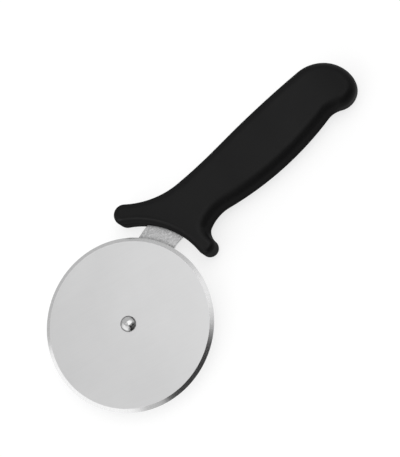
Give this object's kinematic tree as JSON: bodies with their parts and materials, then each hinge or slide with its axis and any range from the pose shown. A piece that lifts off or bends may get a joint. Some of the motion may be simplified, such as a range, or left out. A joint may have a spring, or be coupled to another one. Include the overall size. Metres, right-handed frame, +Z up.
{
  "type": "pizza cutter",
  "caption": "Wheel pizza cutter: a bevelled steel disc spins on a rivet in a curved steel shank, with a black moulded handle whose guard has a long and a short wing.",
  "frame": {"origin": "on the surface that the cutter lies on, under the middle of its box", "axes": "+X from the wheel to the butt of the handle, +Y towards the long wing of the guard, +Z up out of the wheel's front face"},
  "size_m": [0.24, 0.11, 0.016],
  "materials": {
    "handle_plastic": "black moulded plastic with a fine satin grain",
    "shank_steel": "stamped stainless strip, tumbled to a grainy matt",
    "wheel_steel": "satin stainless disc with a bright ground bevel",
    "rivet_steel": "polished stainless rivet head",
    "washer_steel": "plain stainless ring"
  },
  "bodies": {
    "handle": {"handle": "handle_plastic", "shank": "shank_steel", "axle_rivet": "rivet_steel", "spacer_washer": "washer_steel"},
    "wheel": {"cutting_wheel": "wheel_steel"}
  },
  "joints": [
    {"name": "wheel_spin", "type": "hinge", "parent": "handle", "child": "wheel", "pos_m": [-0.0692, -0.00421, 0.01055], "axis": [0, 0, 1], "continuous": true}
  ]
}
